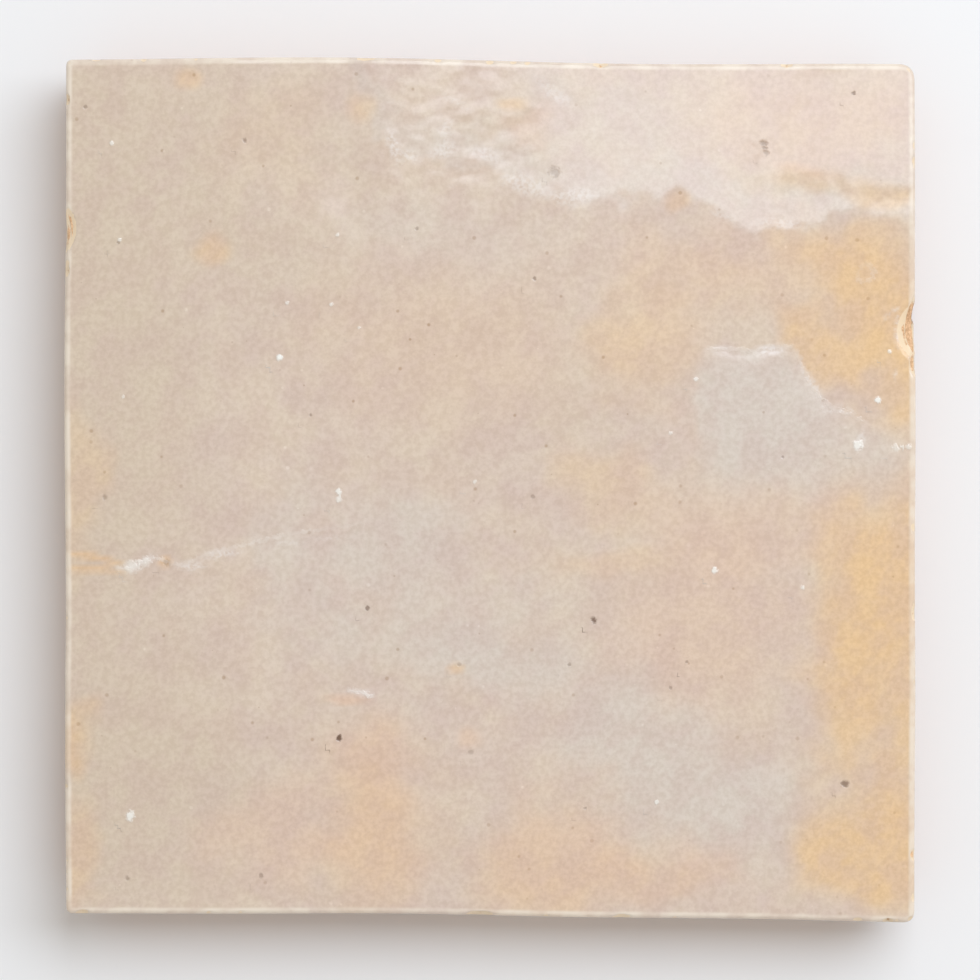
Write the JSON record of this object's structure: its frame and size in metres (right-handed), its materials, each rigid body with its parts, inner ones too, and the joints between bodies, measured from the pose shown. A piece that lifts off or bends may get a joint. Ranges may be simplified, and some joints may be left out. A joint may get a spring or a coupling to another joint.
{
  "type": "zellige tile",
  "caption": "Hand-made square glazed clay wall tile with a rolling glossy face, softened nicked arrises and sides cut back under the face so that tiles close up tight",
  "frame": {"origin": "middle of the flat back, under the centre of the tile's outline", "axes": "+X to the right and +Y up as the picture shows the face, +Z out of the glazed face"},
  "size_m": [0.0986, 0.1002, 0.0115],
  "materials": {
    "glazed_terracotta": "gloss"
  },
  "bodies": {
    "root": {"zellige_tile": "glazed_terracotta"}
  },
  "joints": []
}
